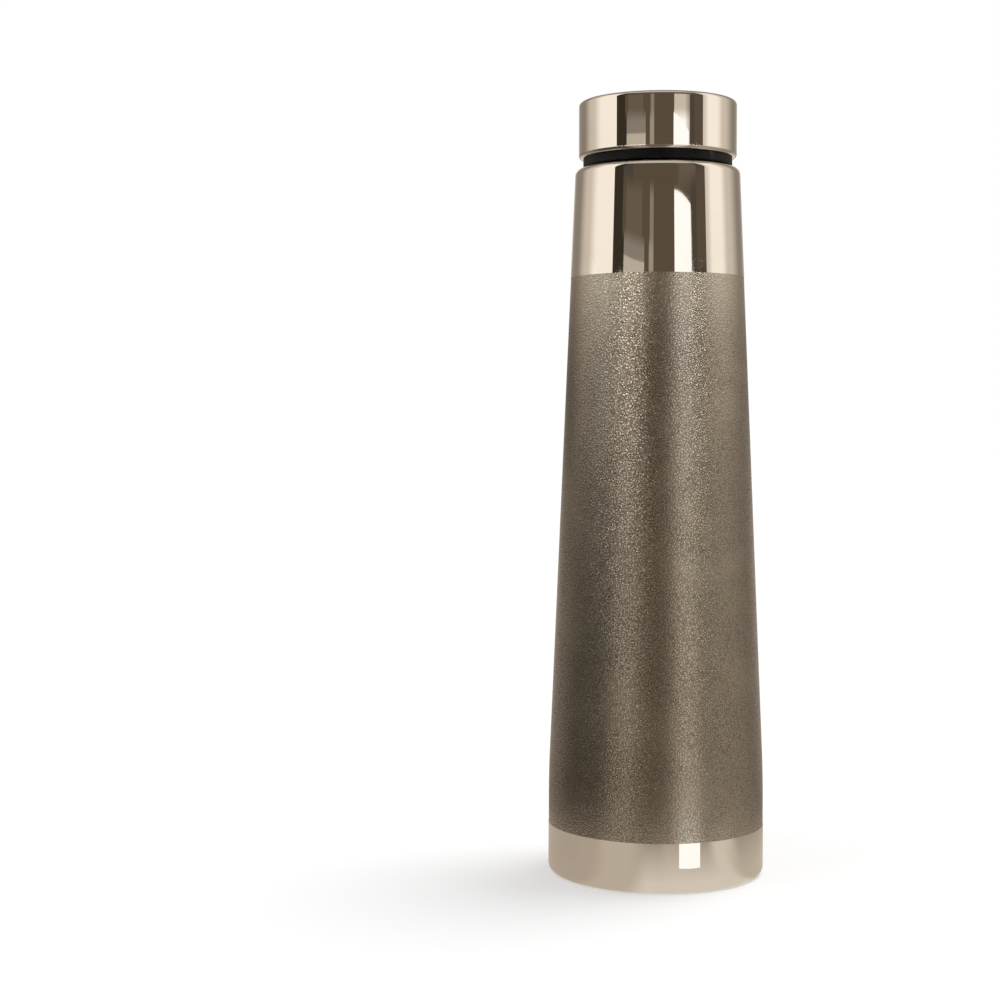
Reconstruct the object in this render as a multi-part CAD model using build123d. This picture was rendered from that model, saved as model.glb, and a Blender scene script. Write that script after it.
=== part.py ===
from build123d import *
import math
import os

# Sprinkler bottle, millimetres. +Z is up, the origin is the middle of the ring it stands on.
# The bottle is a thin tapered shell with a pressed base, a threaded neck, a pierced rose in
# the mouth and a screw cap that covers both.

# Body shell
foot_diameter = 73.0
foot_height = 33.0
foot_edge_radius = 2.5
foot_blend_radius = 300.0
foot_lip_width = 5.0
body_height = 237.8
shoulder_edge_radius = 2.4
shoulder_step = 1.1
steel_wall = 0.6

# Etched belt between the bright base band and the bright collar
base_band_height = 16.7
collar_height = 36.6
etch_depth = 0.1

# Pressed base
base_flange_height = 8.4
base_rise = 4.4
base_slope_run = 2.8
base_bend_radius = 1.4
base_boss_radius = 11.0
base_boss_drop = 0.8

# Threaded neck
neck_bore_radius = 20.4
neck_wall = 1.0
neck_height = 15.8
neck_rim_radius = 0.35
neck_flange_width = 2.0
neck_flange_thickness = 1.0
neck_weld_size = 0.7

# Thread with two starts
thread_starts = 2
thread_lead = 8.0
thread_height = 1.4
thread_root_width = 2.2
thread_crest_width = 0.9
thread_foot_gap = 4.4
thread_rim_gap = 3.4
thread_sunk = 0.3
liner_thread_share = 0.75

# Screw cap
cap_shell_wall = 0.6
cap_edge_radius = 1.4
cap_lip_radius = 1.2
cap_lip_flat = 0.3
skirt_wall = 1.8
skirt_edge_radius = 0.5
skirt_shown = 3.0
cap_roof = 2.0
gasket_thickness = 2.0
gasket_web = 0.8
gasket_land = 5.6
bead_height = 0.8
bead_reach = 0.65

# Rose and the soft plug that holds it in the mouth
rose_sheet = 0.6
rose_rise = 3.0
rose_brim = 2.0
rose_rings = 3
rose_holes_per_ring = 6
rose_hole_radius = 0.8
rose_hole_margin = 2.4
plug_length = 9.0
plug_flange_thickness = 1.2
plug_flange_inset = 0.2
plug_back = 1.9
plug_groove_depth = 1.0
plug_rib_height = 0.4
plug_rib_width = 1.8
plug_rib_crest = 0.4
plug_lead_in = 0.6
plug_floor = 1.2

# Clearances
thread_clearance = 0.4
skirt_gap = 0.4
seal_gap = 0.2
plug_clearance = 0.1
gasket_clearance = 0.3

# Radii that follow from the neck outwards
neck_radius = neck_bore_radius + neck_wall
thread_radius = neck_radius + thread_height
liner_bore_radius = thread_radius + thread_clearance
skirt_radius = liner_bore_radius + skirt_wall
cap_radius = skirt_radius + cap_lip_flat + cap_lip_radius
liner_radius = cap_radius - cap_shell_wall
shoulder_radius = cap_radius + shoulder_step
foot_radius = foot_diameter / 2
gasket_radius = liner_bore_radius - gasket_clearance

# Heights that follow from the shoulder upwards
belt_bottom = base_band_height
belt_top = body_height - collar_height
rim_height = body_height + neck_height
plug_top = rim_height + seal_gap + plug_flange_thickness
gasket_bottom = plug_top + seal_gap
gasket_top = gasket_bottom + gasket_thickness
roof_bottom = gasket_top + seal_gap
liner_top = roof_bottom + cap_roof
cap_top = liner_top + cap_shell_wall
skirt_bottom = body_height + skirt_gap
cap_bottom = skirt_bottom + skirt_shown

# Radii and heights inside the mouth
plug_rib_radius = neck_bore_radius - plug_clearance
plug_radius = plug_rib_radius - plug_rib_height
rose_radius = plug_radius - plug_back
plug_inner_radius = rose_radius - plug_groove_depth
plug_bottom = rim_height + seal_gap - plug_length
rose_bottom = plug_bottom + plug_floor


def turned(points, radii=None):
    """Solid of revolution about Z of a closed outline of (radius, height) points."""
    if radii is None:
        outline = Polyline(*points, close=True)
    else:
        outline = FilletPolyline(*points, radius=radii, close=True)
    return revolve(Plane.XZ * make_face(outline), Axis.Z)


def rounded(outline):
    """Splits (radius, height, rounding) corners into the points and their roundings."""
    points = [(radius, height) for radius, height, rounding in outline]
    roundings = [rounding for radius, height, rounding in outline]
    return points, roundings


def body_radius_at(height):
    """Outside radius of the tapered wall, from the foot's top to the shoulder."""
    share = (height - foot_height) / (body_height - foot_height)
    return foot_radius + (shoulder_radius - foot_radius) * share


def body_shell():
    lip_radius = foot_radius - foot_lip_width
    outside = [
        (lip_radius, 0, 0),
        (foot_radius, 0, foot_edge_radius),
        (foot_radius, belt_bottom, 0),
        (foot_radius - etch_depth, belt_bottom, 0),
        (foot_radius - etch_depth, foot_height, foot_blend_radius),
        (body_radius_at(belt_top) - etch_depth, belt_top, 0),
        (body_radius_at(belt_top), belt_top, 0),
        (shoulder_radius, body_height, shoulder_edge_radius),
        (neck_radius, body_height, 0),
    ]
    inside = [
        (neck_radius, body_height - steel_wall, 0),
        (shoulder_radius - steel_wall, body_height - steel_wall, shoulder_edge_radius - steel_wall),
        (foot_radius - steel_wall, foot_height, foot_blend_radius),
        (foot_radius - steel_wall, steel_wall, foot_edge_radius - steel_wall),
        (lip_radius, steel_wall, 0),
    ]
    return turned(*rounded(outside + inside))


def base_cup():
    """Pressed bottom: a flange inside the shell, a ring on its lip and a raised middle."""
    wall_radius = foot_radius - steel_wall
    slope_radius = foot_radius - foot_lip_width
    raised = steel_wall + base_rise
    under = [
        (wall_radius, steel_wall + base_flange_height),
        (wall_radius, steel_wall),
        (slope_radius, steel_wall),
        (slope_radius - base_slope_run, raised),
        (base_boss_radius + base_boss_drop, raised),
        (base_boss_radius, raised - base_boss_drop),
        (0, raised - base_boss_drop),
    ]
    corner = foot_edge_radius - steel_wall
    boss_bend = base_boss_drop / 2
    bends = [corner, base_bend_radius, base_bend_radius, boss_bend, boss_bend]
    pressed = FilletPolyline(*under, radius=bends)
    sheet = offset(pressed, amount=steel_wall, side=Side.RIGHT, closed=True)
    return revolve(Plane.XZ * make_face(sheet), Axis.Z)


def thread_ridge(root_radius, crest_radius, bottom, turns):
    """Ridge on a helix whose middle starts at the given height, its root sunk in the wall."""
    flank_slope = (thread_root_width - thread_crest_width) / 2 / thread_height
    half_root = thread_root_width / 2 + thread_sunk * flank_slope
    half_crest = thread_crest_width / 2
    sunk_radius = root_radius - math.copysign(thread_sunk, crest_radius - root_radius)
    section = [
        (sunk_radius, bottom - half_root),
        (crest_radius, bottom - half_crest),
        (crest_radius, bottom + half_crest),
        (sunk_radius, bottom + half_root),
    ]
    path = Helix(
        pitch=thread_lead,
        height=thread_lead * turns,
        radius=root_radius,
        center=(0, 0, bottom),
    )
    return sweep(Plane.XZ * make_face(Polyline(*section, close=True)), path=path, is_frenet=True)


def with_thread(wall, root_radius, crest_radius, bottom, turns):
    for start in range(thread_starts):
        ridge = thread_ridge(root_radius, crest_radius, bottom, turns)
        wall += Rot(0, 0, start * 360 / thread_starts) * ridge
    return wall


neck_thread_bottom = body_height + thread_foot_gap
thread_turns = (neck_height - thread_foot_gap - thread_rim_gap) / thread_lead
liner_thread_bottom = neck_thread_bottom - thread_lead / thread_starts / 2


def neck_ring():
    under_shoulder = body_height - steel_wall
    flange_radius = neck_radius + neck_flange_width
    outline = [
        (neck_bore_radius, under_shoulder - neck_flange_thickness, 0),
        (flange_radius, under_shoulder - neck_flange_thickness, 0),
        (flange_radius, under_shoulder, 0),
        (neck_radius, under_shoulder, 0),
        (neck_radius, body_height, 0),
        (neck_radius + neck_weld_size, body_height, 0),
        (neck_radius, body_height + neck_weld_size, 0),
        (neck_radius, rim_height, neck_rim_radius),
        (neck_bore_radius, rim_height, neck_rim_radius),
    ]
    ring = turned(*rounded(outline))
    return with_thread(ring, neck_radius, thread_radius, neck_thread_bottom, thread_turns)


def cap_shell():
    outline = [
        (0, cap_top, 0),
        (cap_radius, cap_top, cap_edge_radius),
        (cap_radius, cap_bottom, cap_lip_radius),
        (skirt_radius, cap_bottom, 0),
        (skirt_radius, cap_bottom + cap_shell_wall, 0),
        (liner_radius, cap_bottom + cap_shell_wall, cap_lip_radius - cap_shell_wall),
        (liner_radius, liner_top, cap_edge_radius - cap_shell_wall),
        (0, liner_top, 0),
    ]
    return turned(*rounded(outline))


def cap_liner():
    """Plastic insert: roof, threaded wall, a skirt below the steel and a bead for the gasket."""
    step_height = cap_bottom + cap_shell_wall
    step_rise = cap_lip_radius - cap_shell_wall
    bead_middle = gasket_bottom - gasket_clearance - bead_height / 2
    outline = [
        (liner_bore_radius, skirt_bottom, 0),
        (skirt_radius, skirt_bottom, skirt_edge_radius),
        (skirt_radius, step_height, 0),
        (liner_radius - step_rise, step_height, 0),
        (liner_radius, step_height + step_rise, 0),
        (liner_radius, liner_top, cap_edge_radius - cap_shell_wall),
        (0, liner_top, 0),
        (0, roof_bottom, 0),
        (liner_bore_radius, roof_bottom, 0),
        (liner_bore_radius, bead_middle + bead_height / 2, 0),
        (liner_bore_radius - bead_reach, bead_middle, 0),
        (liner_bore_radius, bead_middle - bead_height / 2, 0),
    ]
    wall = turned(*rounded(outline))
    crest = liner_bore_radius - thread_height
    turns = thread_turns * liner_thread_share
    return with_thread(wall, liner_bore_radius, crest, liner_thread_bottom, turns)


def cap_gasket():
    inner_radius = gasket_radius - gasket_land
    outline = [
        (0, gasket_top),
        (gasket_radius, gasket_top),
        (gasket_radius, gasket_bottom),
        (inner_radius, gasket_bottom),
        (inner_radius, gasket_top - gasket_web),
        (0, gasket_top - gasket_web),
    ]
    return turned(outline)


def dome_height(radius, dome_radius):
    """Rise of the rose's dome at a radius, on a sphere that meets the brim at dome_radius."""
    sphere = (dome_radius**2 + rose_rise**2) / (2 * rose_rise)
    return rose_rise - sphere + math.sqrt(sphere**2 - radius**2)


def rose_plate():
    dome_radius = plug_inner_radius - rose_brim
    middle = dome_radius / 2
    bulge = dome_height(middle, dome_radius)
    rose_top = rose_bottom + rose_sheet
    outline = [
        Polyline(
            (dome_radius, rose_bottom),
            (rose_radius, rose_bottom),
            (rose_radius, rose_top),
            (dome_radius, rose_top),
        ),
        ThreePointArc((dome_radius, rose_top), (middle, rose_top + bulge), (0, rose_top + rose_rise)),
        Line((0, rose_top + rose_rise), (0, rose_bottom + rose_rise)),
        ThreePointArc((0, rose_bottom + rose_rise), (middle, rose_bottom + bulge), (dome_radius, rose_bottom)),
    ]
    plate = revolve(Plane.XZ * make_face(Curve() + outline), Axis.Z)
    spacing = (dome_radius - rose_hole_margin) / rose_rings
    depth = rose_sheet + rose_rise
    middle_height = rose_bottom + depth / 2
    drill = Cylinder(rose_hole_radius, 2 * depth)
    plate -= Pos(0, 0, middle_height) * drill
    for ring in range(1, rose_rings + 1):
        places = PolarLocations(ring * spacing, ring * rose_holes_per_ring)
        plate -= [Pos(0, 0, middle_height) * place * drill for place in places]
    return plate


def rib(middle_height):
    """Corners of one sealing rib on the plug's side, from its top to its bottom."""
    return [
        (plug_radius, middle_height + plug_rib_width / 2, 0),
        (plug_rib_radius, middle_height + plug_rib_crest / 2, 0),
        (plug_rib_radius, middle_height - plug_rib_crest / 2, 0),
        (plug_radius, middle_height - plug_rib_width / 2, 0),
    ]


def rose_plug():
    """Soft ring: a flange over the mouth's rim, two ribs in the bore, a groove for the rose."""
    under_flange = plug_top - plug_flange_thickness
    flange_radius = neck_radius - plug_flange_inset
    side = under_flange - plug_bottom - plug_lead_in
    outline = [
        (plug_inner_radius, plug_top, plug_lead_in),
        (flange_radius, plug_top, plug_lead_in / 2),
        (flange_radius, under_flange, 0),
        (plug_radius, under_flange, 0),
    ]
    outline += rib(under_flange - side / 4) + rib(under_flange - 3 * side / 4)
    outline += [
        (plug_radius, plug_bottom + plug_lead_in, 0),
        (plug_radius - plug_lead_in, plug_bottom, 0),
        (plug_inner_radius, plug_bottom, 0),
        (plug_inner_radius, rose_bottom, 0),
        (rose_radius, rose_bottom, 0),
        (rose_radius, rose_bottom + rose_sheet, 0),
        (plug_inner_radius, rose_bottom + rose_sheet, 0),
    ]
    return turned(*rounded(outline))


os.makedirs("parts", exist_ok=True)
nodes = {
    "body_shell": body_shell(),
    "base_cup": base_cup(),
    "neck_ring": neck_ring(),
    "rose_plate": rose_plate(),
    "rose_plug": rose_plug(),
    "cap_shell": cap_shell(),
    "cap_liner": cap_liner(),
    "cap_gasket": cap_gasket(),
}
for name, solid in nodes.items():
    export_step(solid, f"parts/{name}.step")

print(f"height {cap_top:.1f}, foot {foot_diameter:.1f}, cap {2 * cap_radius:.1f}, shoulder {2 * shoulder_radius:.1f}")
print(f"mouth bore {2 * neck_bore_radius:.1f}, thread {2 * thread_radius:.1f}, turns {thread_turns:.2f}")
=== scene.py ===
import math

import bmesh
import bpy
from bpy.props import FloatProperty, FloatVectorProperty, IntProperty, PointerProperty
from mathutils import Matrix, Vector


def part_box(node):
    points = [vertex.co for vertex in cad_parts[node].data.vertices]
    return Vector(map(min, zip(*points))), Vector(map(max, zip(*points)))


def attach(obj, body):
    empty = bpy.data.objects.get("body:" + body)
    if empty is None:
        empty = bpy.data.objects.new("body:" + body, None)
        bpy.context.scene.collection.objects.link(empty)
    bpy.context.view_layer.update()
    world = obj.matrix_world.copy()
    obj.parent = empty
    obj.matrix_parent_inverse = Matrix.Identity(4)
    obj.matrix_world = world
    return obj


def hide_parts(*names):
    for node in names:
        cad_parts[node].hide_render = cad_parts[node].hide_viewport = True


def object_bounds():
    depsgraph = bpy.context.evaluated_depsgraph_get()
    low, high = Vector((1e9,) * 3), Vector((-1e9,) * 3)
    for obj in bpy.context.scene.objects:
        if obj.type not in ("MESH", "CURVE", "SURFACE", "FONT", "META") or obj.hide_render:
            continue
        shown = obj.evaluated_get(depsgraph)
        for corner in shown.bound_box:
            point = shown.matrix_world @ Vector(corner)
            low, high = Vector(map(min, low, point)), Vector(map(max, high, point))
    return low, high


bl_info = {
    "name": "Sprinkler Bottle",
    "version": (1, 0, 0),
    "blender": (4, 5, 0),
    "location": "View3D > Sidebar > Sprinkler Bottle",
    "description": "Tapered steel sprinkler bottle with an etched belt and a screw cap",
    "category": "Add Mesh",
}

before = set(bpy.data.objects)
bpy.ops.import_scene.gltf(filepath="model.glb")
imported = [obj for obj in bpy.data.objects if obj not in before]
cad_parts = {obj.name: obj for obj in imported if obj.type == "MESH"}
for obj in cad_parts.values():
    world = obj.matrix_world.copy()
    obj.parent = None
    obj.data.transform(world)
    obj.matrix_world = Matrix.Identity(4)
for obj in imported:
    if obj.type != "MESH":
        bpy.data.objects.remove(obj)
cad_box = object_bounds()
shell_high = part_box("body_shell")[1]
cap_low, cap_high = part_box("cap_shell")
liner_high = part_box("cap_liner")[1]

# Two corners nearer than this are the same
SAME_PLACE = 1e-5
SMOOTH_UP_TO = math.radians(25)
RIGHT_ANGLE = math.radians(90)

# Finishes: how far a turned line drifts up in a radian, how much finer and lower the pits are than
# the grain's cells, and how far down from its top the belt is painted paler as a highlight, and how
# much
LINE_DRIFT = 0.0006
PIT_FINENESS = 2.3
PIT_HEIGHT = 0.7
PAINTED_HIGHLIGHT_HEIGHT = 0.03
PAINTED_HIGHLIGHT_MOST = 0.7

# Stage, in metres: lamps, floor and camera
KEY_PLACE = (0.42, 0.3, 1.3)
KEY_SPREAD = math.radians(35)
FILL_PLACE = (-0.9, -0.6, 1.0)
FILL_WIDTH = 0.7
FLOOR_WIDTH = 12
FLOOR_GLOW = 0.33
CAMERA_PLACE = (0, -0.6367, 0.1535)
CAMERA_DIP = math.radians(2.457)
CAMERA_TURN = math.radians(4.784)
LENS = 67.32
SENSOR_WIDTH = 36

# Panels: the room's first radius, under the foot, its gap above the floor, its sides, and the share
# of the way from a corner to the middle of its face at which the angle is read
UNDER_FOOT = 0.035
FLOOR_GAP = 0.0002
ROOM_SIDES = 360
JUST_INSIDE = 0.01
PLAIN_TONES = (
    "ivory",
    "ceiling",
    "pale",
    "fawn",
    "table",
    "sand",
    "stone",
    "shade",
    "brown",
    "umber",
    "black",
)


def length(name, default, description):
    """Length in metres that the user can change."""
    return FloatProperty(
        name=name,
        description=description,
        default=default,
        precision=5,
        unit="LENGTH",
        subtype="DISTANCE",
    )


def colour(name, default, description):
    """Colour that the user can change."""
    return FloatVectorProperty(
        name=name,
        description=description,
        default=default,
        size=3,
        min=0,
        max=1,
        subtype="COLOR",
    )


def share(name, default, description):
    """Value between 0 and 1 that the user can change."""
    return FloatProperty(
        name=name,
        description=description,
        default=default,
        min=0,
        max=1,
        subtype="FACTOR",
    )


class ShellSizes(bpy.types.PropertyGroup):
    """Outline of the tapered body, in metres"""

    foot_diameter: length("Foot diameter", 2 * shell_high.x, "Width of the straight foot")
    foot_height: length("Foot height", 0.033, "Height at which the foot turns into the taper")
    height: length("Shoulder height", shell_high.z, "Height of the flat shoulder round the neck")
    shoulder_diameter: length("Shoulder diameter", 0.0552, "Width of the taper at the shoulder")
    neck_diameter: length("Neck hole", 0.0428, "Hole in the shoulder for the threaded neck")
    wall: length("Sheet thickness", 0.0006, "Thickness of the steel sheet")
    lip_width: length("Standing lip", 0.005, "Width of the flat ring that the bottle stands on")
    foot_edge: length("Foot rounding", 0.0025, "Radius of the edge round the foot")
    foot_blend: length("Taper blend", 0.3, "Radius between the foot and the taper")
    shoulder_edge: length("Shoulder rounding", 0.0024, "Radius of the edge round the shoulder")
    belt_bottom: length("Belt bottom", 0.0167, "Height at which the etched belt begins")
    belt_top: length("Belt top", 0.2012, "Height at which the etched belt ends")
    etch_depth: length("Etch depth", 0.0001, "Depth of the belt below the bright steel")
    sides: IntProperty(
        name="Sides",
        description="Sides of the round pieces",
        default=256,
        min=48,
        max=512,
    )


class CapSizes(bpy.types.PropertyGroup):
    """Outline of the bright cap cover, in metres"""

    diameter: length("Cap diameter", 2 * cap_high.x, "Width of the cap")
    bottom: length("Cap bottom", cap_low.z, "Height of the cap's lower edge when it is closed")
    top: length("Cap top", cap_high.z, "Height of the cap's flat top when it is closed")
    liner_top: length("Insert top", liner_high.z, "Height of the insert under the cover")
    skirt_diameter: length("Skirt diameter", 0.05, "Width of the insert's skirt below the cover")
    wall: length("Sheet thickness", 0.0006, "Thickness of the cover")
    edge: length("Top rounding", 0.0014, "Radius of the edge round the top")
    lip: length("Lip rounding", 0.0012, "Radius of the edge that is rolled under")


class Finishes(bpy.types.PropertyGroup):
    """Colours and surface of the steel, the plastic and the seals"""

    steel: colour("Polished steel", (0.76, 0.72, 0.66), "Reflected colour of the bright steel")
    belt: colour("Etched steel", (0.52, 0.475, 0.41), "Reflected colour of the etched belt")
    belt_dark: colour("Etched hollows", (0.23, 0.2, 0.16), "Colour in the hollows of the grain")
    satin: colour("Satin steel", (0.62, 0.6, 0.57), "Colour of the neck, the base and the rose")
    plastic: colour("Insert", (0.004, 0.004, 0.0042), "Colour of the moulded insert")
    plug: colour("Plug", (0.035, 0.035, 0.036), "Colour of the soft plug")
    gasket: colour("Gasket", (0.62, 0.62, 0.6), "Colour of the silicone gasket")
    polish: share("Polish", 0.015, "Roughness of the bright steel")
    etch: share("Etch", 0.26, "Roughness of the etched belt")
    grain: length("Grain", 0.0009, "Size of the grain in the etched belt")


class Studio(bpy.types.PropertyGroup):
    """Light, floor and panels round the bottle"""

    floor: colour("Floor", (0.8, 0.8, 0.8), "Colour of the floor")
    sky: FloatProperty(name="Sky light", description="Light from all round", default=0.5, min=0)
    key: FloatProperty(name="Key light", description="Strength of the sun", default=1.3, min=0)
    fill: FloatProperty(
        name="Fill light",
        description="Power of the second lamp",
        default=1.5,
        min=0,
        unit="POWER",
    )
    cream: colour("Cream panel", (1.0, 0.93, 0.85), "Light of the large panels at the sides")
    ivory: colour("Ivory panel", (0.82, 0.75, 0.66), "Light at the foot and beside the cream")
    ceiling: colour("Ceiling", (0.66, 0.62, 0.58), "Light from above")
    pale: colour("Pale panel", (0.76, 0.67, 0.57), "Light between the cream and the wall behind")
    fawn: colour("Fawn panel", (0.61, 0.54, 0.45), "Light near the foot and of a patch in front")
    table: colour("Table", (0.52, 0.44, 0.37), "Light of the floor near the foot, on the left")
    sand: colour("Sand panel", (0.42, 0.36, 0.295), "Light low on the right and of thin strips")
    stone: colour("Stone panel", (0.3, 0.26, 0.22), "Light from behind and of grey strips")
    shade: colour("Shade panel", (0.09, 0.075, 0.06), "Light low on the left and of dark strips")
    brown: colour("Brown panel", (0.17, 0.132, 0.098), "Light of the warmer panel in front")
    umber: colour("Umber panel", (0.125, 0.095, 0.066), "Light of the dark panels in front")
    black: colour("Black panel", (0.046, 0.036, 0.025), "Light of the black flag on the left")


def new_circle(name, radius, height, sides, fill="NOTHING"):
    """Circle about the axis, in edit mode, from which a wall is drawn."""
    bpy.ops.object.select_all(action="DESELECT")
    bpy.ops.mesh.primitive_circle_add(
        vertices=sides, radius=radius, fill_type=fill, location=(0, 0, height)
    )
    piece = bpy.context.object
    piece.name = name
    piece.data.name = name
    bpy.ops.object.transform_apply(location=True, rotation=True, scale=True)
    bpy.ops.object.mode_set(mode="EDIT")
    bpy.ops.mesh.select_mode(type="EDGE")
    select_ring(piece, radius, height)
    return piece


def select_ring(piece, radius, height):
    """Selects the edges that run round the axis at that radius and height, and nothing else."""
    bpy.ops.mesh.select_all(action="DESELECT")
    mesh = bmesh.from_edit_mesh(piece.data)
    for edge in mesh.edges:
        ends = [(math.hypot(end.co.x, end.co.y), end.co.z) for end in edge.verts]
        if all(abs(r - radius) < SAME_PLACE and abs(z - height) < SAME_PLACE for r, z in ends):
            edge.select_set(True)
    bmesh.update_edit_mesh(piece.data)


def draw_wall(corners):
    """Extrudes the selected ring from the first (radius, height) corner through the others."""
    radius, height = corners[0]
    for next_radius, next_height in corners[1:]:
        rise = (0, 0, next_height - height)
        bpy.ops.mesh.extrude_edges_move(TRANSFORM_OT_translate={"value": rise})
        scale = next_radius / radius
        bpy.ops.transform.resize(value=(scale, scale, 1), center_override=(0, 0, next_height))
        radius, height = next_radius, next_height


def close_centre():
    """Closes the selected ring to a point on the axis."""
    bpy.ops.mesh.extrude_edges_move(TRANSFORM_OT_translate={"value": (0, 0, 0)})
    bpy.ops.mesh.merge(type="CENTER")


def round_ring(piece, corner, rounding, turn, segments):
    """Rounds the ring at a corner where the wall turns by that angle."""
    select_ring(piece, *corner)
    reach = rounding * math.tan(turn / 2)
    bpy.ops.mesh.bevel(
        offset=reach, offset_type="OFFSET", segments=segments, profile=0.5, affect="EDGES"
    )


def finish_mesh(piece):
    """Merges what meets, turns the faces outwards, smooths the shading and leaves edit mode."""
    bpy.ops.mesh.select_all(action="SELECT")
    bpy.ops.mesh.remove_doubles(threshold=SAME_PLACE / 10)
    bpy.ops.mesh.normals_make_consistent(inside=False)
    bpy.ops.object.mode_set(mode="OBJECT")
    bpy.ops.object.shade_smooth_by_angle(angle=SMOOTH_UP_TO)
    weighted = piece.modifiers.new("Flat walls stay flat", "WEIGHTED_NORMAL")
    weighted.keep_sharp = True
    bpy.ops.object.modifier_apply(modifier=weighted.name)


def add_node(tree, kind, inputs=None, **settings):
    """Adds a node, gives it its settings, and fills or links its inputs."""
    node = tree.nodes.new(kind)
    for name, value in settings.items():
        setattr(node, name, value)
    for socket, value in (inputs or {}).items():
        if isinstance(value, bpy.types.NodeSocket):
            tree.links.new(value, node.inputs[socket])
        else:
            node.inputs[socket].default_value = value
    return node


def new_group(name, inputs, outputs):
    """Empty shader group with named inputs (name, kind, default) and outputs (name, kind)."""
    group = bpy.data.node_groups.new(name, "ShaderNodeTree")
    for label, kind, default in inputs:
        socket = group.interface.new_socket(label, in_out="INPUT", socket_type=kind)
        if default is not None:
            socket.default_value = default
    for label, kind in outputs:
        group.interface.new_socket(label, in_out="OUTPUT", socket_type=kind)
    return group, group.nodes.new("NodeGroupInput").outputs


def put_out(group, values):
    """Links a group's results to its outputs."""
    output = group.nodes.new("NodeGroupOutput")
    for label, socket in values.items():
        group.links.new(socket, output.inputs[label])


def turned_lines_group():
    """Fine lines round the axis, as a lathe or a polishing wheel leaves them."""
    group, given = new_group(
        "Turned lines",
        [("Vector", "NodeSocketVector", None), ("Line", "NodeSocketFloat", 0.0003)],
        [("Lines", "NodeSocketFloat")],
    )
    place = add_node(group, "ShaderNodeSeparateXYZ", {0: given["Vector"]})
    flat = add_node(
        group, "ShaderNodeCombineXYZ", {"X": place.outputs["X"], "Y": place.outputs["Y"]}
    )
    radius = add_node(group, "ShaderNodeVectorMath", {0: flat.outputs[0]}, operation="LENGTH")
    turn = add_node(
        group, "ShaderNodeMath", {0: place.outputs["Y"], 1: place.outputs["X"]}, operation="ARCTAN2"
    )
    wander = add_node(
        group, "ShaderNodeMath", {0: turn.outputs[0], 1: LINE_DRIFT}, operation="MULTIPLY"
    )
    across = add_node(
        group,
        "ShaderNodeCombineXYZ",
        {"X": radius.outputs["Value"], "Y": place.outputs["Z"], "Z": wander.outputs[0]},
    )
    fineness = add_node(group, "ShaderNodeMath", {0: 1.0, 1: given["Line"]}, operation="DIVIDE")
    lines = add_node(
        group,
        "ShaderNodeTexNoise",
        {
            "Vector": across.outputs[0],
            "Scale": fineness.outputs[0],
            "Detail": 3.0,
            "Roughness": 0.6,
        },
    )
    put_out(group, {"Lines": lines.outputs[0]})
    return group


def handling_marks_group():
    """Cloudy smears that hands and a cloth leave on a smooth surface."""
    group, given = new_group(
        "Handling marks",
        [("Vector", "NodeSocketVector", None), ("Size", "NodeSocketFloat", 0.02)],
        [("Mask", "NodeSocketFloat")],
    )
    coarse = add_node(group, "ShaderNodeMath", {0: 1.0, 1: given["Size"]}, operation="DIVIDE")
    clouds = add_node(
        group,
        "ShaderNodeTexNoise",
        {"Vector": given["Vector"], "Scale": coarse.outputs[0], "Detail": 5.0, "Distortion": 0.8},
    )
    mask = add_node(
        group,
        "ShaderNodeMapRange",
        {"Value": clouds.outputs[0], "From Min": 0.46, "From Max": 0.68},
        interpolation_type="SMOOTHSTEP",
    )
    put_out(group, {"Mask": mask.outputs[0]})
    return group


def leather_grain_group():
    """Small wandering cells with hollows between them, in height and as a mask of the hollows."""
    group, given = new_group(
        "Leather grain",
        [("Vector", "NodeSocketVector", None), ("Size", "NodeSocketFloat", 0.001)],
        [("Height", "NodeSocketFloat"), ("Hollows", "NodeSocketFloat")],
    )
    fineness = add_node(group, "ShaderNodeMath", {0: 1.0, 1: given["Size"]}, operation="DIVIDE")
    sway = add_node(
        group,
        "ShaderNodeTexNoise",
        {"Vector": given["Vector"], "Scale": fineness.outputs[0], "Detail": 1.0},
    )
    swayed = add_node(
        group,
        "ShaderNodeVectorMath",
        {0: sway.outputs["Color"], 1: given["Size"]},
        operation="MULTIPLY",
    )
    bent = add_node(
        group, "ShaderNodeVectorMath", {0: given["Vector"], 1: swayed.outputs[0]}, operation="ADD"
    )
    cells = add_node(
        group,
        "ShaderNodeTexVoronoi",
        {"Vector": bent.outputs[0], "Scale": fineness.outputs[0]},
        feature="DISTANCE_TO_EDGE",
    )
    pillow = add_node(
        group,
        "ShaderNodeMapRange",
        {"Value": cells.outputs["Distance"], "From Min": 0.0, "From Max": 0.32},
        interpolation_type="SMOOTHSTEP",
    )
    finer = add_node(
        group, "ShaderNodeMath", {0: fineness.outputs[0], 1: PIT_FINENESS}, operation="MULTIPLY"
    )
    pits = add_node(
        group,
        "ShaderNodeTexNoise",
        {
            "Vector": given["Vector"],
            "Scale": finer.outputs[0],
            "Detail": 3.0,
            "Roughness": 0.65,
        },
    )
    height = add_node(
        group,
        "ShaderNodeMath",
        {0: pits.outputs[0], 1: PIT_HEIGHT, 2: pillow.outputs[0]},
        operation="MULTIPLY_ADD",
    )
    hollows = add_node(
        group,
        "ShaderNodeMapRange",
        {"Value": height.outputs[0], "From Min": 0.95, "From Max": 0.35},
        interpolation_type="SMOOTHSTEP",
    )
    put_out(group, {"Height": height.outputs[0], "Hollows": hollows.outputs[0]})
    return group


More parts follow.
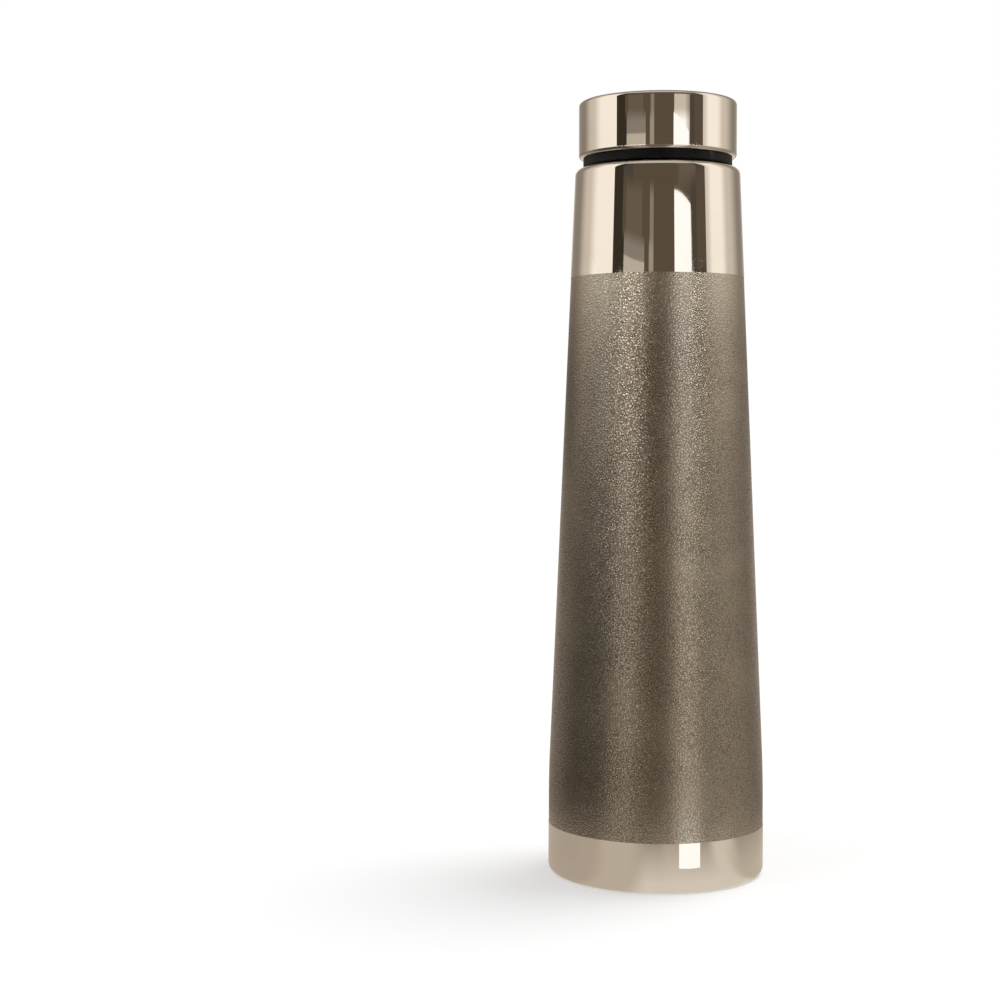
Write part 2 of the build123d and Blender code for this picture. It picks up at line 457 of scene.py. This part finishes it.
def edge_rub_group():
    """Mask of the edges that stand out, where a finish is rubbed bright."""
    group, given = new_group(
        "Edge rub",
        [("Reach", "NodeSocketFloat", 0.06)],
        [("Mask", "NodeSocketFloat")],
    )
    shape = add_node(group, "ShaderNodeNewGeometry")
    top = add_node(group, "ShaderNodeMath", {0: 0.5, 1: given["Reach"]}, operation="ADD")
    mask = add_node(
        group,
        "ShaderNodeMapRange",
        {"Value": shape.outputs["Pointiness"], "From Min": 0.505, "From Max": top.outputs[0]},
        interpolation_type="SMOOTHSTEP",
    )
    put_out(group, {"Mask": mask.outputs[0]})
    return group


GROUP_MAKERS = {
    "Turned lines": turned_lines_group,
    "Handling marks": handling_marks_group,
    "Leather grain": leather_grain_group,
    "Edge rub": edge_rub_group,
}


def effect(tree, name, inputs):
    """Places a shared effect in a material, and makes its group the first time."""
    group = bpy.data.node_groups.get(name) or GROUP_MAKERS[name]()
    return add_node(tree, "ShaderNodeGroup", inputs, node_tree=group).outputs


def new_material(name):
    """Material with its shader and the place on the piece, both ready to be linked."""
    material = bpy.data.materials.new(name)
    material.use_nodes = True
    tree = material.node_tree
    shader = tree.nodes["Principled BSDF"]
    place = tree.nodes.new("ShaderNodeTexCoord").outputs["Object"]
    return material, tree, shader, place


def blend_colours(tree, mask, first, second):
    """Colour that goes from the first to the second as the mask goes from 0 to 1."""
    mix = add_node(tree, "ShaderNodeMix", {0: mask}, data_type="RGBA")
    # Sockets 6 and 7 and output 2 are the mix node's own for colours
    for socket, value in ((mix.inputs[6], first), (mix.inputs[7], second)):
        if isinstance(value, bpy.types.NodeSocket):
            tree.links.new(value, socket)
        else:
            socket.default_value = (*value, 1)
    return mix.outputs[2]


def spread(tree, value, low, high):
    """Brings a value between 0 and 1 to the range from low to high."""
    inputs = {"Value": value, "To Min": low, "To Max": high}
    return add_node(tree, "ShaderNodeMapRange", inputs).outputs[0]


def scaled(tone, factor):
    """Tone made darker or lighter, within what a colour can be."""
    return tuple(min(1, factor * channel) for channel in tone)


def lifted(tone, amount):
    """Tone made paler by the same amount in each channel, as dust does."""
    return tuple(channel + amount for channel in tone)


def set_bump(tree, shader, height, depth, strength=1.0):
    """Raises the surface by that depth where the height is 1."""
    inputs = {"Height": height, "Distance": depth, "Strength": strength}
    bump = add_node(tree, "ShaderNodeBump", inputs)
    tree.links.new(bump.outputs[0], shader.inputs["Normal"])


def polished_steel(finishes):
    """Mirror finish with faint wheel lines and a few smears."""
    material, tree, shader, place = new_material("Polished steel")
    shader.inputs["Metallic"].default_value = 1
    lines = effect(tree, "Turned lines", {"Vector": place, "Line": 0.0005})
    marks = effect(tree, "Handling marks", {"Vector": place, "Size": 0.018})
    dull = scaled(finishes.steel, 0.97)
    tint = blend_colours(tree, marks["Mask"], tuple(finishes.steel), dull)
    tree.links.new(tint, shader.inputs["Base Color"])
    smeared = spread(tree, marks["Mask"], finishes.polish, finishes.polish + 0.01)
    rubbed = spread(tree, lines["Lines"], -0.006, 0.008)
    total = add_node(tree, "ShaderNodeMath", {0: smeared, 1: rubbed}, operation="ADD")
    tree.links.new(total.outputs[0], shader.inputs["Roughness"])
    set_bump(tree, shader, lines["Lines"], depth=0.000001, strength=0.1)
    return material


def etched_steel(finishes, top):
    """Matte belt with a fine leather grain and dark hollows, and a painted highlight that makes it
    paler towards its upper end.
    """
    material, tree, shader, place = new_material("Etched steel")
    shader.inputs["Metallic"].default_value = 1
    grain = effect(tree, "Leather grain", {"Vector": place, "Size": finishes.grain})
    marks = effect(tree, "Handling marks", {"Vector": place, "Size": 0.03})
    hollow = spread(tree, grain["Hollows"], 0, 0.8)
    base = blend_colours(tree, hollow, tuple(finishes.belt), tuple(finishes.belt_dark))
    patch = spread(tree, marks["Mask"], 0, 0.3)
    tint = blend_colours(tree, patch, base, scaled(finishes.belt, 1.12))
    # Painted highlight: the belt's colour is made paler towards its top
    height = add_node(tree, "ShaderNodeSeparateXYZ", {0: place})
    painted_top_highlight = add_node(
        tree,
        "ShaderNodeMapRange",
        {
            "Value": height.outputs["Z"],
            "From Min": top - PAINTED_HIGHLIGHT_HEIGHT,
            "From Max": top,
            "To Max": PAINTED_HIGHLIGHT_MOST,
        },
        interpolation_type="SMOOTHSTEP",
    )
    tint = blend_colours(tree, painted_top_highlight.outputs[0], tint, scaled(finishes.belt, 1.25))
    tree.links.new(tint, shader.inputs["Base Color"])
    rough = spread(tree, grain["Hollows"], finishes.etch - 0.04, finishes.etch + 0.12)
    tree.links.new(rough, shader.inputs["Roughness"])
    set_bump(tree, shader, grain["Height"], depth=0.00002)
    return material


def satin_steel(finishes):
    """Turned finish of the neck, the base and the rose."""
    material, tree, shader, place = new_material("Satin steel")
    shader.inputs["Metallic"].default_value = 1
    lines = effect(tree, "Turned lines", {"Vector": place, "Line": 0.00025})
    marks = effect(tree, "Handling marks", {"Vector": place, "Size": 0.012})
    rub = effect(tree, "Edge rub", {"Reach": 0.06})
    dull = scaled(finishes.satin, 0.82)
    base = blend_colours(tree, lines["Lines"], dull, tuple(finishes.satin))
    tint = blend_colours(tree, rub["Mask"], base, tuple(finishes.steel))
    tree.links.new(tint, shader.inputs["Base Color"])
    grit = spread(tree, lines["Lines"], 0.18, 0.34)
    smear = spread(tree, marks["Mask"], 0, 0.06)
    total = add_node(tree, "ShaderNodeMath", {0: grit, 1: smear}, operation="ADD")
    tree.links.new(total.outputs[0], shader.inputs["Roughness"])
    set_bump(tree, shader, lines["Lines"], depth=0.00001, strength=0.6)
    return material


def moulded_plastic(finishes):
    """Black moulded insert with a fine spark texture and paler edges."""
    material, tree, shader, place = new_material("Moulded plastic")
    grain = effect(tree, "Leather grain", {"Vector": place, "Size": 0.0005})
    marks = effect(tree, "Handling marks", {"Vector": place, "Size": 0.01})
    rub = effect(tree, "Edge rub", {"Reach": 0.08})
    dusty = lifted(finishes.plastic, 0.006)
    bright = lifted(finishes.plastic, 0.03)
    base = blend_colours(tree, marks["Mask"], tuple(finishes.plastic), dusty)
    tint = blend_colours(tree, rub["Mask"], base, bright)
    tree.links.new(tint, shader.inputs["Base Color"])
    tree.links.new(spread(tree, grain["Hollows"], 0.38, 0.55), shader.inputs["Roughness"])
    shader.inputs["Specular IOR Level"].default_value = 0.2
    set_bump(tree, shader, grain["Height"], depth=0.00001, strength=0.7)
    return material


def soft_rubber(name, tone, dust_tone, roughness, sheen):
    """Soft seal: smooth, slightly cloudy and dusty."""
    material, tree, shader, place = new_material(name)
    marks = effect(tree, "Handling marks", {"Vector": place, "Size": 0.008})
    grain = effect(tree, "Leather grain", {"Vector": place, "Size": 0.0008})
    tint = blend_colours(tree, spread(tree, marks["Mask"], 0, 0.7), tuple(tone), dust_tone)
    tree.links.new(tint, shader.inputs["Base Color"])
    clouded = spread(tree, marks["Mask"], roughness, roughness + 0.15)
    tree.links.new(clouded, shader.inputs["Roughness"])
    shader.inputs["Sheen Weight"].default_value = sheen
    set_bump(tree, shader, grain["Height"], depth=0.000008, strength=0.5)
    return material


def dress(node, material):
    """Gives a carried-over piece its material."""
    for material_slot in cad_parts[node].material_slots:
        material_slot.material = material


class BOTTLE_OT_body_shell(bpy.types.Operator):
    """Draw the tapered body with its bright bands and its etched belt"""

    bl_idname = "bottle.body_shell"
    bl_label = "Body shell"

    def execute(self, context):
        sizes = context.scene.shell_sizes
        finishes = context.scene.finishes
        foot = sizes.foot_diameter / 2
        shoulder = sizes.shoulder_diameter / 2
        neck = sizes.neck_diameter / 2
        lip = foot - sizes.lip_width
        slope = (foot - shoulder) / (sizes.height - sizes.foot_height)
        tilt = math.atan(slope)
        belt_end = foot - slope * (sizes.belt_top - sizes.foot_height)
        foot_edge = (foot, 0)
        taper_start = (foot - sizes.etch_depth, sizes.foot_height)
        shoulder_edge = (shoulder, sizes.height)
        shoulder_inside = (shoulder - sizes.wall, sizes.height - sizes.wall)
        taper_inside = (foot - sizes.wall, sizes.foot_height)
        foot_inside = (foot - sizes.wall, sizes.wall)
        outline = [
            (lip, 0),
            foot_edge,
            (foot, sizes.belt_bottom),
            (foot - sizes.etch_depth, sizes.belt_bottom),
            taper_start,
            (belt_end - sizes.etch_depth, sizes.belt_top),
            (belt_end, sizes.belt_top),
            shoulder_edge,
            (neck, sizes.height),
            (neck, sizes.height - sizes.wall),
            shoulder_inside,
            taper_inside,
            foot_inside,
            (lip, sizes.wall),
            (lip, 0),
        ]
        piece = new_circle("bottle_shell", *outline[0], sizes.sides)
        draw_wall(outline)
        bpy.ops.mesh.select_all(action="SELECT")
        bpy.ops.mesh.remove_doubles(threshold=SAME_PLACE / 10)
        round_ring(piece, foot_edge, sizes.foot_edge, RIGHT_ANGLE, segments=10)
        round_ring(piece, taper_start, sizes.foot_blend, tilt, segments=8)
        round_ring(piece, shoulder_edge, sizes.shoulder_edge, RIGHT_ANGLE - tilt, segments=12)
        inner_edge = sizes.shoulder_edge - sizes.wall
        round_ring(piece, shoulder_inside, inner_edge, RIGHT_ANGLE - tilt, segments=6)
        round_ring(piece, taper_inside, sizes.foot_blend, tilt, segments=8)
        round_ring(piece, foot_inside, sizes.foot_edge - sizes.wall, RIGHT_ANGLE, segments=6)
        finish_mesh(piece)
        piece.data.materials.append(polished_steel(finishes))
        piece.data.materials.append(etched_steel(finishes, sizes.belt_top))
        for face in piece.data.polygons:
            outward = Vector((face.center.x, face.center.y, 0))
            on_belt = sizes.belt_bottom < face.center.z < sizes.belt_top
            if on_belt and face.normal.dot(outward) > outward.length / 2:
                face.material_index = 1
        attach(piece, "bottle")
        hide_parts("body_shell")
        return {"FINISHED"}


class BOTTLE_OT_cap_cover(bpy.types.Operator):
    """Draw the bright steel cover of the screw cap"""

    bl_idname = "bottle.cap_cover"
    bl_label = "Cap cover"

    def execute(self, context):
        sizes = context.scene.cap_sizes
        sides = context.scene.shell_sizes.sides
        radius = sizes.diameter / 2
        skirt = sizes.skirt_diameter / 2
        liner = radius - sizes.wall
        halfway = radius / 2
        top_edge = (radius, sizes.top)
        lip_edge = (radius, sizes.bottom)
        lip_inside = (liner, sizes.bottom + sizes.wall)
        top_inside = (liner, sizes.liner_top)
        outline = [
            (halfway, sizes.top),
            top_edge,
            lip_edge,
            (skirt, sizes.bottom),
            (skirt, sizes.bottom + sizes.wall),
            lip_inside,
            top_inside,
            (halfway, sizes.liner_top),
        ]
        piece = new_circle("cap_cover", *outline[0], sides, fill="TRIFAN")
        draw_wall(outline)
        close_centre()
        round_ring(piece, top_edge, sizes.edge, RIGHT_ANGLE, segments=10)
        round_ring(piece, lip_edge, sizes.lip, RIGHT_ANGLE, segments=10)
        round_ring(piece, lip_inside, sizes.lip - sizes.wall, RIGHT_ANGLE, segments=5)
        round_ring(piece, top_inside, sizes.edge - sizes.wall, RIGHT_ANGLE, segments=5)
        finish_mesh(piece)
        piece.data.materials.append(bpy.data.materials["Polished steel"])
        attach(piece, "cap")
        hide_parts("cap_shell")
        return {"FINISHED"}


class BOTTLE_OT_steel_fittings(bpy.types.Operator):
    """Give the threaded neck, the pressed base and the rose their turned finish"""

    bl_idname = "bottle.steel_fittings"
    bl_label = "Steel fittings"

    def execute(self, context):
        satin = satin_steel(context.scene.finishes)
        for node in ("neck_ring", "base_cup", "rose_plate"):
            dress(node, satin)
        return {"FINISHED"}


class BOTTLE_OT_cap_insert(bpy.types.Operator):
    """Give the moulded insert of the cap its black finish"""

    bl_idname = "bottle.cap_insert"
    bl_label = "Cap insert"

    def execute(self, context):
        dress("cap_liner", moulded_plastic(context.scene.finishes))
        return {"FINISHED"}


class BOTTLE_OT_seals(bpy.types.Operator):
    """Give the soft plug and the gasket their rubber finishes"""

    bl_idname = "bottle.seals"
    bl_label = "Seals"

    def execute(self, context):
        finishes = context.scene.finishes
        dark_dust = lifted(finishes.plug, 0.05)
        pale_dust = scaled(finishes.gasket, 0.88)
        dress("rose_plug", soft_rubber("Plug rubber", finishes.plug, dark_dust, 0.5, 0.2))
        dress("cap_gasket", soft_rubber("Gasket silicone", finishes.gasket, pale_dust, 0.3, 0.1))
        return {"FINISHED"}


def light_material(name):
    """Surface that glows in the colours painted on its mesh."""
    material = bpy.data.materials.new(name)
    material.use_nodes = True
    tree = material.node_tree
    tree.nodes.remove(tree.nodes["Principled BSDF"])
    painted = add_node(tree, "ShaderNodeVertexColor", layer_name="Light").outputs["Color"]
    glow = add_node(tree, "ShaderNodeEmission", {"Color": painted})
    tree.links.new(glow.outputs[0], tree.nodes["Material Output"].inputs["Surface"])
    return material


def light_at(panels, tones, angle):
    """Light of a ring of panels, each written as its tone and its first and last angle."""
    stops = []
    for panel in panels.split(", "):
        name, first, last = panel.split()
        stops += [(float(first), tones[name]), (float(last), tones[name])]
    for (start, tone), (end, next_tone) in zip(stops, stops[1:]):
        if start <= angle <= end and start < end:
            part = (angle - start) / (end - start)
            return tone.lerp(next_tone, part * part * (3 - 2 * part))
    return stops[-1][1]


def room_bands():
    """Bands of the room, from the bottle's foot over the floor, up the wall and over the ceiling.

    Each is the radius and the height of its far edge, and the panels along its near edge and along
    its far edge. A panel is written as its tone and its first and last angle, from the back round
    by the left.
    """
    foot = "fawn -180 -150, table -110 -52, fawn -36 -18, ivory -4 58, fawn 72 180"
    apron = (
        "fawn -180 -170, table -130 -56, fawn -45 -24, sand -3 3, table 11 20, sand 37 45, "
        "pale 56 69, sand 83 140, fawn 175 180"
    )
    floor = (
        "pale -180 -180, stone -135 -130, shade -90 -55, sand -34 -26, brown -12 8, "
        "stone 26 48, sand 74 92, stone 125 130, pale 180 180"
    )
    low_wall = (
        "stone -180 -176, shade -145 -46, stone -37 -28, brown -14 8, "
        "stone 24 50, sand 66 88, stone 108 180"
    )
    middle_wall = (
        "pale -180 -180, stone -148 -134, pale -109 -101, shade -88 -46, stone -37 -28, "
        "brown -14 8, stone 24 50, sand 66 88, pale 101 111, stone 140 148, pale 180 180"
    )
    # From here up the sides are the same in all bands, and the front changes between them
    far_left = "pale -180 -180, stone -148 -134, pale -109 -107"
    left = f"{far_left}, cream -87 -61"
    right = "ivory 68 70, cream 79 94, pale 109 111, stone 140 148, pale 180 180"
    lamps = (
        f"{far_left}, cream -90 -81, glow -71 -61, lamp -61 -17, sand -17 23, "
        f"lamp 23 63, glow 64 68, {right}"
    )
    lamp_tops = (
        f"{left}, black -61 -52, lamp -50 -17, sand -17 23, "
        f"lamp 23 48, shade 50 68, {right}"
    )
    front = (
        "umber -17 -11, sand -11 -5, umber -5 23, "
        "white 23 38, pale 46 46.5, shade 46.5 53, umber 55 68"
    )
    cap_low = f"{left}, black -61 -45, fawn -45 -17, {front}, {right}"
    cap_middle = f"{left}, black -61 -45, stone -45 -17, {front}, {right}"
    front_left = "black -61 -48, umber -47 -43, brown -42 -21, umber -20 -10, stone -10 -5"
    cap_high = (
        f"{left}, {front_left}, umber -5 23, "
        f"pale 24 38, sand 46 46.5, shade 46.5 53, umber 55 68, {right}"
    )
    collar = f"{left}, {front_left}, umber -5 46, shade 46 53, umber 55 68, {right}"
    high_wall = (
        f"{left}, black -61 -48, shade -47 -36, umber -30 26, "
        f"brown 32 53, shade 55 68, {right}"
    )
    ceiling = "stone -180 -120, ceiling -60 60, stone 120 180"
    close, near, over, wall = 0.05, 0.11, 1.2, 2.1
    top = 1.7
    return [
        (close, FLOOR_GAP, foot, foot),
        (near, FLOOR_GAP, foot, apron),
        (wall, FLOOR_GAP, floor, floor),
        (wall, 0.28, floor, low_wall),
        (wall, 0.4, low_wall, middle_wall),
        (wall, 0.472, middle_wall, middle_wall),
        (wall, 0.503, lamps, lamps),
        (wall, 0.527, lamp_tops, lamp_tops),
        (wall, 0.558, cap_low, cap_low),
        (wall, 0.577, cap_middle, cap_middle),
        (wall, 0.597, cap_middle, cap_high),
        (wall, 0.622, cap_high, cap_high),
        (wall, 0.655, collar, collar),
        (wall, 0.68, collar, high_wall),
        (wall, top, high_wall, high_wall),
        (over, top, high_wall, high_wall),
        (near, top, ceiling, ceiling),
    ]


def heading(angle):
    """Level direction at that angle in degrees, from the front towards the right."""
    return Vector((math.sin(math.radians(angle)), -math.cos(math.radians(angle)), 0))


def shown_rays(tree):
    """1 for rays from the camera, from gloss and through glass, and 0 for the rest."""
    path = add_node(tree, "ShaderNodeLightPath")
    both = add_node(
        tree,
        "ShaderNodeMath",
        {0: path.outputs["Is Camera Ray"], 1: path.outputs["Is Glossy Ray"]},
        operation="MAXIMUM",
    )
    return add_node(
        tree,
        "ShaderNodeMath",
        {0: both.outputs[0], 1: path.outputs["Is Transmission Ray"]},
        operation="MAXIMUM",
    ).outputs[0]


def hide_from_all_but_gloss(obj):
    """A studio panel shows only in the metal and lights nothing else."""
    obj.visible_camera = False
    obj.visible_diffuse = False
    obj.visible_transmission = False
    obj.visible_volume_scatter = False
    obj.visible_shadow = False


class BOTTLE_OT_stage(bpy.types.Operator):
    """Set the floor, the white background, the lamps, the studio panels and the camera"""

    bl_idname = "bottle.stage"
    bl_label = "Studio"

    def execute(self, context):
        studio = context.scene.studio
        self.lay_floor(studio)
        self.light_world(studio)
        self.hang_lamps(studio)
        self.stand_panels(studio)
        self.place_camera(context)
        context.scene.view_settings.view_transform = "Standard"
        return {"FINISHED"}

    def lay_floor(self, studio):
        """Pale floor that keeps the shadow and shows white round it."""
        bpy.ops.mesh.primitive_plane_add(size=FLOOR_WIDTH, location=(0, 0, 0))
        floor = bpy.context.object
        floor.name = "floor"
        material = bpy.data.materials.new("Floor")
        material.use_nodes = True
        tree = material.node_tree
        shader = tree.nodes["Principled BSDF"]
        shader.inputs["Base Color"].default_value = (*studio.floor, 1)
        shader.inputs["Roughness"].default_value = 0.9
        shader.inputs["Specular IOR Level"].default_value = 0
        glow = add_node(tree, "ShaderNodeEmission", {"Color": (1, 1, 1, 1)})
        level = add_node(
            tree, "ShaderNodeMath", {0: shown_rays(tree), 1: FLOOR_GLOW}, operation="MULTIPLY"
        )
        tree.links.new(level.outputs[0], glow.inputs["Strength"])
        both = add_node(tree, "ShaderNodeAddShader", {0: shader.outputs[0], 1: glow.outputs[0]})
        tree.links.new(both.outputs[0], tree.nodes["Material Output"].inputs["Surface"])
        floor.data.materials.append(material)

    def light_world(self, studio):
        """Even light from all round that shows as white."""
        world = bpy.data.worlds.new("Studio")
        world.use_nodes = True
        bpy.context.scene.world = world
        tree = world.node_tree
        background = tree.nodes["Background"]
        background.inputs["Color"].default_value = (1, 1, 1, 1)
        inputs = {"Value": shown_rays(tree), "To Min": studio.sky, "To Max": 1.0}
        level = add_node(tree, "ShaderNodeMapRange", inputs)
        tree.links.new(level.outputs[0], background.inputs["Strength"])

    def hang_lamps(self, studio):
        """Soft main light from above and a weak one from the left."""
        middle = Vector((0, 0, cad_box[1].z / 2))
        for name, kind, power, place, softness in (
            ("key", "SUN", studio.key, KEY_PLACE, ("angle", KEY_SPREAD)),
            ("fill", "AREA", studio.fill, FILL_PLACE, ("size", FILL_WIDTH)),
        ):
            bpy.ops.object.light_add(type=kind, location=place)
            lamp = bpy.context.object
            lamp.name = name
            lamp.data.energy = power
            setattr(lamp.data, *softness)
            lamp.visible_glossy = False
            lamp.rotation_euler = (middle - Vector(place)).to_track_quat("-Z", "Y").to_euler()

    def stand_panels(self, studio):
        """Room and card round the bottle that only gloss sees."""
        tones = {
            "white": 1.35 * Vector((1, 1, 1)),
            "lamp": 9.0 * Vector(studio.cream),
            "glow": 3.0 * Vector(studio.cream),
            "cream": 1.2 * Vector(studio.cream),
        }
        for name in PLAIN_TONES:
            tones[name] = Vector(getattr(studio, name))
        surface = light_material("Panels")
        self.build_room(tones, surface)
        self.stand_card(tones, surface)

    def build_room(self, tones, surface):
        """Round room in bands, with light that blends from panel to panel and across a band."""
        bands = room_bands()
        outline = [(UNDER_FOOT, FLOOR_GAP)] + [band[:2] for band in bands]
        room = new_circle("panel_room", *outline[0], ROOM_SIDES)
        draw_wall(outline)
        close_centre()
        bpy.ops.object.mode_set(mode="OBJECT")
        middles = [
            Vector(first).lerp(Vector(last), 0.5) for first, last in zip(outline, outline[1:])
        ]
        light = room.data.color_attributes.new("Light", "FLOAT_COLOR", "CORNER")
        for face in room.data.polygons:
            middle = Vector((face.center.xy.length, face.center.z))
            number = min(range(len(bands)), key=lambda choice: (middles[choice] - middle).length)
            far_edge = Vector(outline[number + 1])
            begin, end = bands[number][2:]
            for index, loop in zip(face.vertices, face.loop_indices):
                corner = room.data.vertices[index].co
                inside = corner.lerp(face.center, JUST_INSIDE)
                angle = math.degrees(math.atan2(inside.x, -inside.y))
                at_end = (Vector((corner.xy.length, corner.z)) - far_edge).length < SAME_PLACE
                light.data[loop].color = (*light_at(end if at_end else begin, tones, angle), 1)
        room.data.materials.append(surface)
        hide_from_all_but_gloss(room)

    def stand_card(self, tones, surface):
        """White card in front on the right, with its foot drawn out over the floor as a painted
        reflection of the card in the table.
        """
        corners = []
        # Distance from the axis, angles of the left and the right edge, and their heights
        for reach, angles, heights in (
            (0.0705, (25, 48), (0, 0)),
            (0.11, (25, 48), (0, 0)),
            (0.56, (23, 46), (0, 0)),
            (0.56, (23, 46), (0.225, 0.225)),
            (0.56, (23, 46), (0.339, 0.327)),
        ):
            for angle, height in zip(angles, heights):
                foot = shell_high.x * heading(angle / 2)
                away = (reach - shell_high.x) * heading(angle)
                corners.append(foot + away + Vector((0, 0, height + 2 * FLOOR_GAP)))
        mesh = bpy.data.meshes.new("white_card")
        faces = [(n, n + 1, n + 3, n + 2) for n in range(0, len(corners) - 2, 2)]
        mesh.from_pydata(corners, [], faces)
        card = bpy.data.objects.new("white_card", mesh)
        bpy.context.scene.collection.objects.link(card)
        light = mesh.color_attributes.new("Light", "FLOAT_COLOR", "CORNER")
        # The first two faces lie on the floor: a painted reflection of the card in the table
        for face, tone in zip(mesh.polygons, ("white", "pale", "pale", "white")):
            for loop in face.loop_indices:
                light.data[loop].color = (*tones[tone], 1)
        mesh.materials.append(surface)
        hide_from_all_but_gloss(card)

    def place_camera(self, context):
        """Camera in front, a little above the bottle's middle, which it shows on the right."""
        bpy.ops.object.camera_add(location=CAMERA_PLACE)
        camera = bpy.context.object
        camera.name = "camera"
        camera.rotation_euler = (RIGHT_ANGLE - CAMERA_DIP, 0, CAMERA_TURN)
        camera.data.lens = LENS
        camera.data.sensor_width = SENSOR_WIDTH
        context.scene.camera = camera


class BOTTLE_PT_panel(bpy.types.Panel):
    """Lists the steps that make the bottle and its studio"""

    bl_idname = "BOTTLE_PT_panel"
    bl_label = "Sprinkler bottle"
    bl_space_type = "VIEW_3D"
    bl_region_type = "UI"
    bl_category = "Sprinkler Bottle"

    def draw(self, context):
        for step in STEPS:
            self.layout.operator(step.bl_idname)
        for group in GROUPS:
            box = self.layout.box()
            for name in GROUPS[group].__annotations__:
                box.prop(getattr(context.scene, group), name)


STEPS = (
    BOTTLE_OT_body_shell,
    BOTTLE_OT_cap_cover,
    BOTTLE_OT_steel_fittings,
    BOTTLE_OT_cap_insert,
    BOTTLE_OT_seals,
    BOTTLE_OT_stage,
)
GROUPS = {
    "shell_sizes": ShellSizes,
    "cap_sizes": CapSizes,
    "finishes": Finishes,
    "studio": Studio,
}


def register():
    """Makes the settings, the steps and the panel known to Blender."""
    for group in GROUPS.values():
        bpy.utils.register_class(group)
    for step in STEPS:
        bpy.utils.register_class(step)
    bpy.utils.register_class(BOTTLE_PT_panel)
    for name, group in GROUPS.items():
        setattr(bpy.types.Scene, name, PointerProperty(type=group))


def unregister():
    """Takes away what register() made known."""
    for name in GROUPS:
        delattr(bpy.types.Scene, name)
    bpy.utils.unregister_class(BOTTLE_PT_panel)
    for step in reversed(STEPS):
        bpy.utils.unregister_class(step)
    for group in GROUPS.values():
        bpy.utils.unregister_class(group)


def main():
    """Runs the steps in order."""
    register()
    bpy.ops.bottle.body_shell()
    bpy.ops.bottle.cap_cover()
    bpy.ops.bottle.steel_fittings()
    bpy.ops.bottle.cap_insert()
    bpy.ops.bottle.seals()
    bpy.ops.bottle.stage()


if __name__ == "__main__":
    main()
